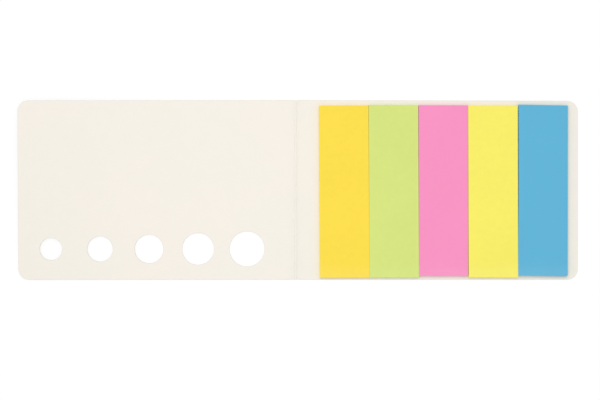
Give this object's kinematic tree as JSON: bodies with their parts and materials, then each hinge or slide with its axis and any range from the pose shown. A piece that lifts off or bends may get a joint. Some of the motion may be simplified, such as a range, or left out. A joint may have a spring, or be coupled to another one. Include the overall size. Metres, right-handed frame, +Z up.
{
  "type": "sticky page marker booklet",
  "caption": "Creased card cover, lying open, with pads of coloured sticky page markers side by side on one panel and a row of round windows in the other.",
  "frame": {"origin": "on the table under the back crease, in the middle of the open cover", "axes": "+X to the right across the open cover, towards the pads' side; +Y towards the cover's upper edge, where the pads' sticky ends are; +Z up from the table"},
  "size_m": [0.1678, 0.0538, 0.0024],
  "materials": {
    "cover_card": "matt uncoated cream card",
    "orange_paper": "matt orange-yellow paper",
    "green_paper": "matt light green paper",
    "pink_paper": "matt pink paper",
    "yellow_paper": "matt yellow paper",
    "blue_paper": "matt blue paper"
  },
  "bodies": {
    "back": {"back_cover": "cover_card", "pad_orange": "orange_paper", "pad_green": "green_paper", "pad_pink": "pink_paper", "pad_yellow": "yellow_paper", "pad_blue": "blue_paper"},
    "spine": {"spine": "cover_card"},
    "front": {"front_cover": "cover_card"}
  },
  "joints": [
    {"name": "back_crease", "type": "hinge", "parent": "back", "child": "spine", "pos_m": [0, 0, 0.0004], "axis": [0, 1, 0], "range_deg": [0, 90]},
    {"name": "front_crease", "type": "hinge", "parent": "spine", "child": "front", "pos_m": [-0.0013, 0, 0.0004], "axis": [0, 1, 0], "range_deg": [0, 88.5]}
  ]
}
